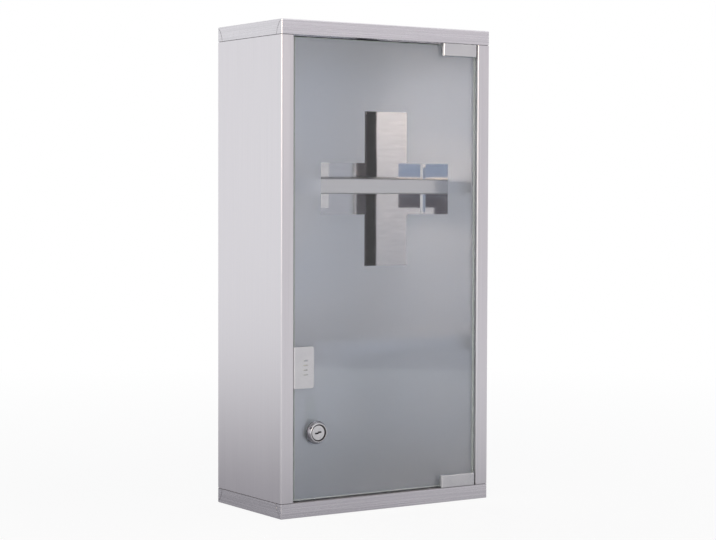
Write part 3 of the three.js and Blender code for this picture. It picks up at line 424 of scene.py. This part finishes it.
def inside_cap(place, normal):
    """The same for a cap, whose flange behind the front rim turns its outer face to the door.

    2 on its two ends, which are brushed from front to back and darker as painted shade, and 3 on the flange
    below the door, darker and matt as painted shade.
    """
    below_face = CASE_HALF.z - abs(place.z - CASE_MIDDLE.z)
    to_door = normal.z * (1 if place.z < CASE_MIDDLE.z else -1)
    if below_face > LOW_JOINT / 2 and to_door > HALF:
        return 3 if place.z < CASE_MIDDLE.z else 0
    if inside_case(place, normal):
        return 1
    return 2 if abs(normal.x) > STEEP else 0


def inside_back(place, normal):
    """1 on the back panel's face towards the shelves."""
    return 1 if place.y < (BACK_LOW.y + BACK_HIGH.y) / 2 else 0


def under_shelf(place, normal):
    """1 on the level face under a shelf, 0 on its top and its folds."""
    return 1 if normal.z < -SQUARE else 0


def edge_of_glass(place, normal):
    """1 on the ground edges of the pane."""
    return 0 if abs(normal.y) > SQUARE else 1


def in_keyway(place, normal):
    """1 on the walls of the keyway, dark as painted shade."""
    aside = max(abs(place.x - LOCK_AXIS.x), abs(place.z - LOCK_AXIS.z))
    return 1 if aside < KEYWAY_REACH and place.y > PLUG_LOW.y + SHEET / 2 else 0


def round_lock(place, normal):
    """1 in the groove round the lock's turning face and 2 on the skirt outside the rim, both darker as
    painted shade, 0 on the rim.
    """
    from_axis = hypot(place.x - LOCK_AXIS.x, place.z - LOCK_AXIS.z)
    if from_axis > PLUG_RADIUS + MOUTH + SHEET / 8:
        return 2 if normal.y > -HALF else 0
    return 1 if place.y > BARREL_LOW.y + SHEET / 4 else 0


def mouth_cutter():
    """A short cylinder that opens the lock's mouth round its turning face."""
    made = bmesh.new()
    deep = Matrix.Translation((LOCK_AXIS.x * MM, BARREL_LOW.y * MM, LOCK_AXIS.z * MM))
    bmesh.ops.create_cone(made, cap_ends=True, segments=96, radius1=(PLUG_RADIUS + MOUTH) * MM,
                          radius2=(PLUG_RADIUS + MOUTH) * MM, depth=2 * MOUTH_DEEP * MM,
                          matrix=deep @ Matrix.Rotation(pi / 2, 4, "X"))
    mesh = bpy.data.meshes.new("lock_mouth")
    made.to_mesh(mesh)
    made.free()
    return linked_object("lock_mouth", mesh)


def cross_cutter(place, away, span):
    """A cross that cuts a driver's recess at a place on a screw's head, which faces away."""
    half = span / 2
    arm = SCREW_CROSS_WIDTH / 2
    quarter = [Vector((half, -arm, 0)), Vector((half, arm, 0)), Vector((arm, arm, 0))]
    turns = [Matrix.Rotation(turn * pi / 2, 3, "Z") for turn in range(4)]
    rim = [turn @ corner for turn in turns for corner in quarter]
    deep = Vector((0, 0, SCREW_CROSS_DEEP))
    corners = [corner - deep for corner in rim] + [corner + deep for corner in rim]
    to_head = Vector(away).to_track_quat("Z", "Y").to_matrix()
    count = len(rim)
    sides = [(i, (i + 1) % count, count + (i + 1) % count, count + i) for i in range(count)]
    ends = [tuple(reversed(range(count))), tuple(range(count, 2 * count))]
    mesh = bpy.data.meshes.new("driver_cross")
    mesh.from_pydata([(place + to_head @ corner) * MM for corner in corners], [], sides + ends)
    return linked_object("driver_cross", mesh)


def screw_head(node, axis, away):
    """The middle of a screw's outer face: axis is 0, 1 or 2, and away is 1 or -1 along it."""
    low, high = box_mm(node)
    place = (low + high) / 2
    place[axis] = (high if away > 0 else low)[axis]
    way = [0, 0, 0]
    way[axis] = away
    return place, way


for side in ("left", "right"):
    dressed(f"{side}_side_panel", [STAINLESS_UPRIGHT, STAINLESS_BRIGHT, STAINLESS_JOINT_SHADE],
            choose=inside_panel)
for end, inner in (("top", STAINLESS_BRIGHT), ("bottom", STAINLESS_DULL)):
    dressed(f"{end}_cap", [STAINLESS_ACROSS, inner, STAINLESS_DEEP, STAINLESS_FLANGE_SHADE], choose=inside_cap)
    dressed(f"{end}_hinge_bush", [NYLON], edge=0.1)
    dressed(f"{end}_hinge_clamp", [SATIN_NICKEL], edge=0.2)
    dressed(f"{end}_hinge_liner", [CLEAR_RUBBER], edge=0.08)
    dressed(f"{end}_hinge_pin", [ZINC], edge=0.1)
    for number in (1, 2):
        dressed(f"{end}_hinge_set_screw_{number}", [ZINC], edge=0.1)
dressed("back_panel", [STAINLESS_UPRIGHT, STAINLESS_BACK], choose=inside_back)
for side in ("left", "right"):
    dressed(f"corner_bar_{side}", [STAINLESS_BAR])
for level in ("lower", "upper"):
    dressed(f"{level}_shelf", [STAINLESS_DULL, STAINLESS_BRIGHT], choose=under_shelf)
    for side in ("left", "right"):
        dressed(f"{level}_shelf_rail_{side}", [STAINLESS_DEEP])
dressed("latch_bracket", [STAINLESS_DEEP])
dressed("latch_housing", [GREY_ABS], edge=0.4)
for number in (1, 2):
    dressed(f"latch_screw_{number}", [ZINC], edge=0.1,
            cutter=cross_cutter(*screw_head(f"latch_screw_{number}", 2, -1), LATCH_SCREW_CROSS))
dressed("latch_spring", [SPRING_WIRE], edge=0.02)
dressed("latch_plunger", [NYLON], edge=0.3)
dressed("latch_magnet", [FERRITE], edge=0.15)
dressed("door_glass", [GLASS, GLASS_EDGE], edge=0.05, choose=edge_of_glass)
dressed("frosted_film", [FROST], edge=0.02)
dressed("strike_plate", [SATIN_NICKEL], edge=0.2)
dressed("strike_liner", [CLEAR_RUBBER], edge=0.08)
dressed("lock_barrel", [CHROME, CAST_ZINC_AND_SHADE, CHROME_SKIRT_SHADE], edge=0.12, choose=round_lock, cutter=mouth_cutter())
dressed("lock_gasket", [BLACK_RUBBER], edge=0.15)
dressed("lock_washer", [ZINC], edge=0.15)
dressed("lock_nut", [ZINC], edge=0.3)
dressed("lock_plug", [CHROME, CAST_ZINC_AND_SHADE], edge=0.1, choose=in_keyway)
dressed("lock_cam", [ZINC], edge=0.2)
dressed("cam_screw", [ZINC], edge=0.15,
        cutter=cross_cutter(*screw_head("cam_screw", 1, 1), CAM_SCREW_CROSS))


# Repeated details, grown by geometry nodes

def growth_tree(name, sizes, finish, build):
    """A geometry tree with named sizes in metres, whose last step gives what build returns a finish."""
    tree = bpy.data.node_groups.new(name, "GeometryNodeTree")
    tree.interface.new_socket("Geometry", in_out="INPUT", socket_type="NodeSocketGeometry")
    for size in sizes:
        tree.interface.new_socket(size, in_out="INPUT", socket_type="NodeSocketFloat")
    tree.interface.new_socket("Geometry", in_out="OUTPUT", socket_type="NodeSocketGeometry")
    grown = build(tree, add(tree, "NodeGroupInput").outputs)
    real = add(tree, "GeometryNodeRealizeInstances", {"Geometry": grown})
    done = add(tree, "GeometryNodeSetMaterial", {"Geometry": real, "Material": finish})
    add(tree, "NodeGroupOutput", {"Geometry": done})
    return tree


def grow(name, tree, sizes, places, facings, body, slot):
    """A piece that a geometry tree grows at places, in millimetres, each with the way that it faces."""
    mesh = bpy.data.meshes.new(name)
    mesh.from_pydata([place * MM for place in places], [], [])
    facing = mesh.attributes.new("facing", "FLOAT_VECTOR", "POINT")
    facing.data.foreach_set("vector", [value for way in facings for value in way])
    piece = linked_object(name, mesh)
    modifier = piece.modifiers.new(name, "NODES")
    modifier.node_group = tree
    for socket in tree.interface.items_tree:
        if socket.in_out == "INPUT" and socket.name in sizes:
            modifier[socket.identifier] = sizes[socket.name] * MM
    settle(piece)
    piece.data.polygons.foreach_set("use_smooth", [True] * len(piece.data.polygons))
    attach(piece, body)


def planted(tree, points, instance, scale=(1, 1, 1)):
    """Sets an instance on each point, with its Z axis along the point's facing."""
    way = add(tree, "GeometryNodeInputNamedAttribute", {"Name": "facing"}, data_type="FLOAT_VECTOR")
    turn = add(tree, "FunctionNodeAlignRotationToVector", {"Vector": way}, axis="Z")
    return add(tree, "GeometryNodeInstanceOnPoints", {
        "Points": points, "Instance": instance, "Rotation": turn, "Scale": scale})


def weld_buttons(tree, given):
    """A low button with a sloped rim, as a spot welder's tip leaves."""
    flat_share = 0.6
    crown = add(tree, "ShaderNodeMath", {0: given["Radius"], 1: flat_share}, operation="MULTIPLY")
    button = add(tree, "GeometryNodeMeshCone", {
        "Vertices": 20, "Radius Top": crown, "Radius Bottom": given["Radius"], "Depth": given["Proud"]})
    return planted(tree, given["Geometry"], button)


def grip_bars(tree, given):
    """A pressed bar with soft ends, half of it inside the sheet."""
    ball = add(tree, "GeometryNodeMeshUVSphere", {"Segments": 24, "Rings": 12, "Radius": 1.0})
    scale = add(tree, "ShaderNodeCombineXYZ", {
        "X": given["Half length"], "Y": given["Half width"], "Z": given["Proud"]})
    return planted(tree, given["Geometry"], ball, scale)


def thread_ridge(tree, given):
    """One ridge that winds along the end of the lock's barrel."""
    turns = add(tree, "ShaderNodeMath", {0: given["Length"], 1: given["Pitch"]}, operation="DIVIDE")
    helix = add(tree, "GeometryNodeCurveSpiral", {
        "Resolution": 48, "Rotations": turns, "Start Radius": given["Radius"], "End Radius": given["Radius"],
        "Height": given["Length"]})
    profile = add(tree, "GeometryNodeCurvePrimitiveCircle", {"Resolution": 6, "Radius": given["Ridge"]})
    ridge = add(tree, "GeometryNodeCurveToMesh", {
        "Curve": helix, "Profile Curve": profile, "Fill Caps": True})
    return planted(tree, given["Geometry"], ridge)


def weld_rows():
    """Places and facings of the welds that hold the shelf rails and the latch bracket to the walls."""
    carriers = [f"{level}_shelf_rail_{side}" for level in ("lower", "upper") for side in ("left", "right")]
    places, facings = [], []
    for node in carriers + ["latch_bracket"]:
        low, high = box_mm(node)
        middle = (low + high) / 2
        inwards = -1 if middle.x > 0 else 1
        sheet = SHEET if node in carriers else LATCH_SHEET
        leg = (high.x if middle.x > 0 else low.x) + inwards * (sheet + WELD_PROUD / 2)
        count = 1 + int((high.y - low.y - 2 * WELD_MARGIN) / WELD_PITCH)
        for number in range(count):
            along = middle.y + (number - (count - 1) / 2) * WELD_PITCH
            places.append(Vector((leg, along, middle.z)))
            facings.append((inwards, 0, 0))
    return places, facings


grow("spot_welds", growth_tree("spot welds", ["Radius", "Proud"], STAINLESS_BRIGHT, weld_buttons),
     {"Radius": WELD_RADIUS, "Proud": WELD_PROUD}, *weld_rows(), "case", "brushed_stainless")

STRIKE_MIDDLE = (STRIKE_LOW + STRIKE_HIGH) / 2
bar_rises = [(number - (GRIP_BARS - 1) / 2) * GRIP_BAR_PITCH for number in range(GRIP_BARS)]
bar_places = [Vector((STRIKE_MIDDLE.x + GRIP_BAR_ASIDE, STRIKE_LOW.y, STRIKE_MIDDLE.z + rise))
              for rise in bar_rises]
grow("strike_grip_bars", growth_tree("grip bars", ["Half length", "Half width", "Proud"], ZINC, grip_bars),
     {"Half length": GRIP_BAR_LENGTH / 2, "Half width": GRIP_BAR_WIDTH / 2, "Proud": GRIP_BAR_PROUD},
     bar_places, [(0, -1, 0)] * GRIP_BARS, "door", "satin_nickel")

THREAD_SHOWN = BARREL_HIGH.y - NUT_HIGH.y - 2 * THREAD_RIDGE
grow("lock_thread", growth_tree("lock thread", ["Length", "Pitch", "Radius", "Ridge"], CHROME, thread_ridge),
     {"Length": THREAD_SHOWN, "Pitch": THREAD_PITCH, "Radius": THREAD_RADIUS, "Ridge": THREAD_RIDGE},
     [Vector((LOCK_AXIS.x, NUT_HIGH.y + THREAD_RIDGE, LOCK_AXIS.z))], [(0, 1, 0)], "door", "chrome")


# Stage, light and camera

def seen_directly(tree):
    """1 for what the eye, metal or glass sees, 0 for what only gives light."""
    rays = add(tree, "ShaderNodeLightPath").outputs
    seen = add(tree, "ShaderNodeMath", {0: rays["Is Camera Ray"], 1: rays["Is Glossy Ray"]},
               operation="MAXIMUM")
    return add(tree, "ShaderNodeMath", {0: seen, 1: rays["Is Transmission Ray"]}, operation="MAXIMUM")


def fade(tree, near, far, start, end, middle=(0, 0, 0)):
    """A value that goes from near to far between two distances from a middle, in metres."""
    place = add(tree, "ShaderNodeTexCoord").outputs["Object"]
    away = add(tree, "ShaderNodeVectorMath", {0: place, 1: middle}, operation="DISTANCE").outputs["Value"]
    return add(tree, "ShaderNodeMapRange", {
        "Value": away, "From Min": start, "From Max": end, "To Min": near, "To Max": far})


def floor_material():
    """A pale floor that fades to white for the eye, metal and glass, and keeps the shadow near the case."""
    made, tree = blank_material("floor_pale")
    whiteness = fade(tree, near=0.88, far=1.0, start=0.4, end=1.8)
    share = add(tree, "ShaderNodeMath", {0: seen_directly(tree), 1: whiteness}, operation="MULTIPLY")
    matt = add(tree, "ShaderNodeBsdfDiffuse", {"Color": linear("#F4F4F4")})
    white = add(tree, "ShaderNodeEmission", {"Color": (1, 1, 1, 1), "Strength": 1.0})
    surface = add(tree, "ShaderNodeMixShader", {0: share, 1: matt, 2: white})
    add(tree, "ShaderNodeOutputMaterial", {"Surface": surface})
    return made


def ground_card_material():
    """A grey card round the foot of the case that fades to white; its grey, darkest near the case and seen
    only in reflections and through glass, is painted shade of the floor.
    """
    made, tree = blank_material("card_grey_ground_painted_shade")
    whiteness = fade(tree, near=0.0, far=1.0, start=0.1, end=1.9, middle=(-0.2, 0.14, 0))
    colour = add(tree, "ShaderNodeMix", {
        MIX_FACTOR: whiteness, MIX_FIRST: linear("#A2A0A4"), MIX_SECOND: (1, 1, 1, 1)}, data_type="RGBA")
    surface = add(tree, "ShaderNodeEmission", {"Color": colour, "Strength": 1.0})
    add(tree, "ShaderNodeOutputMaterial", {"Surface": surface})
    return made


def card_material(name, low, high, bottom, top):
    """A matt studio card that fades from its low colour to its high one, between two heights in metres."""
    made, tree = blank_material(name)
    place = add(tree, "ShaderNodeTexCoord").outputs["Object"]
    height = add(tree, "ShaderNodeSeparateXYZ", {0: place}).outputs["Z"]
    factor = add(tree, "ShaderNodeMapRange", {"Value": height, "From Min": bottom, "From Max": top})
    colour = add(tree, "ShaderNodeMix", {
        MIX_FACTOR: factor, MIX_FIRST: linear(low), MIX_SECOND: linear(high)}, data_type="RGBA")
    surface = add(tree, "ShaderNodeEmission", {"Color": colour, "Strength": 1.0})
    add(tree, "ShaderNodeOutputMaterial", {"Surface": surface})
    return made


def stage_sheet(name, corners, finish, reflections_only=True):
    """A flat stage piece in metres. Most are seen only in reflections and through glass."""
    mesh = bpy.data.meshes.new(name)
    mesh.from_pydata([tuple(corner) for corner in corners], [], [tuple(range(len(corners)))])
    mesh.materials.append(finish)
    sheet = linked_object(name, mesh)
    if reflections_only:
        sheet.visible_camera = False
        sheet.visible_diffuse = False
        sheet.visible_shadow = False


def level_sheet(name, half, height, finish, reflections_only):
    """A square sheet that lies flat, its middle under the case."""
    corners = [(-half, -half, height), (half, -half, height), (half, half, height), (-half, half, height)]
    stage_sheet(name, corners, finish, reflections_only)


def upright_card(name, middle, facing, width, low, high, finish):
    """A standing card at middle (x, y), square to the way it faces (degrees from +Y towards +X)."""
    way = radians(facing)
    across = Vector((cos(way), -sin(way), 0)) * width / 2
    foot = Vector((*middle, 0))
    stage_sheet(name, [foot - across + Vector((0, 0, low)), foot + across + Vector((0, 0, low)),
                       foot + across + Vector((0, 0, high)), foot - across + Vector((0, 0, high))], finish)


def high_card(name, middle, half, finish):
    """A square card high up, square to the way from the lock, whose chrome mirrors it."""
    away = (Vector(middle) - LOCK_AXIS * MM).normalized()
    across = away.cross((0, 0, 1)).normalized() * half
    up = across.cross(away)
    middle = Vector(middle)
    corners = [middle - across - up, middle + across - up, middle + across + up, middle - across + up]
    stage_sheet(name, corners, finish)


# The floor and the card on it lie just below the case, so that no two faces meet
level_sheet("floor", half=12.0, height=-0.0004, finish=floor_material(), reflections_only=False)
level_sheet("card_ground", half=2.3, height=-0.0002, finish=ground_card_material(), reflections_only=True)
upright_card("card_right", (1.2, -1.4), facing=140, width=2.4, low=0.0, high=1.8,
             finish=card_material("card_pale", "#D6D3D6", "#CCCACE", bottom=0.6, top=1.5))
upright_card("card_behind_camera", (-1.44, -2.64), facing=213, width=0.8, low=0.16, high=0.62,
             finish=card_material("card_dark_to_blue", "#56525C", "#B0C0DA", bottom=0.28, top=0.315))
high_card("card_high_left", (-1.35, -0.05, 1.2), half=0.3,
          finish=card_material("card_black", "#26262C", "#26262C", bottom=0.0, top=1.0))


def area_light(name, place, size, power, colour="#FFFFFF"):
    """A soft lamp, its size in metres and its power in watts, that points at the middle of the case."""
    lamp = bpy.data.lights.new(name, "AREA")
    lamp.shape = "RECTANGLE"
    lamp.size, lamp.size_y = size
    lamp.energy = power
    lamp.color = linear(colour)[:3]
    holder = linked_object(name, lamp)
    holder.location = place
    holder.rotation_euler = (CASE_MIDDLE * MM - Vector(place)).to_track_quat("-Z", "Y").to_euler()
    holder.visible_camera = False


area_light("key_over_camera", (-1.35, -2.05, 1.0), size=(0.9, 0.9), power=13.5, colour="#FFE7CC")
area_light("fill_right_front", (1.5, -1.5, 1.4), size=(1.2, 1.2), power=5, colour="#FFF2EA")
area_light("strip_left", (-2.0, -1.25, 0.7), size=(0.35, 1.5), power=1.6)


def studio_world():
    """White to the eye, to metal and to glass, and a plain soft level for everything it lights."""
    world = bpy.data.worlds.new("studio")
    world.use_nodes = True
    tree = world.node_tree
    tree.nodes.clear()
    soft = add(tree, "ShaderNodeBackground", {"Color": linear("#F2F4F8"), "Strength": 0.7})
    white = add(tree, "ShaderNodeBackground", {"Color": (1, 1, 1, 1), "Strength": 1.0})
    mixed = add(tree, "ShaderNodeMixShader", {0: seen_directly(tree), 1: soft, 2: white})
    add(tree, "ShaderNodeOutputWorld", {"Surface": mixed})
    bpy.context.scene.world = world


studio_world()

lens = bpy.data.cameras.new("camera")
lens.lens = CAMERA_LENS
lens.sensor_width = CAMERA_SENSOR
camera = linked_object("camera", lens)
turn = Matrix.Rotation(-CAMERA_YAW, 4, "Z") @ Matrix.Rotation(pi / 2 + CAMERA_PITCH, 4, "X")
camera.matrix_world = Matrix.Translation(CAMERA_PLACE) @ turn @ Matrix.Rotation(CAMERA_ROLL, 4, "Z")
bpy.context.scene.camera = camera
bpy.context.scene.view_settings.view_transform = "Standard"
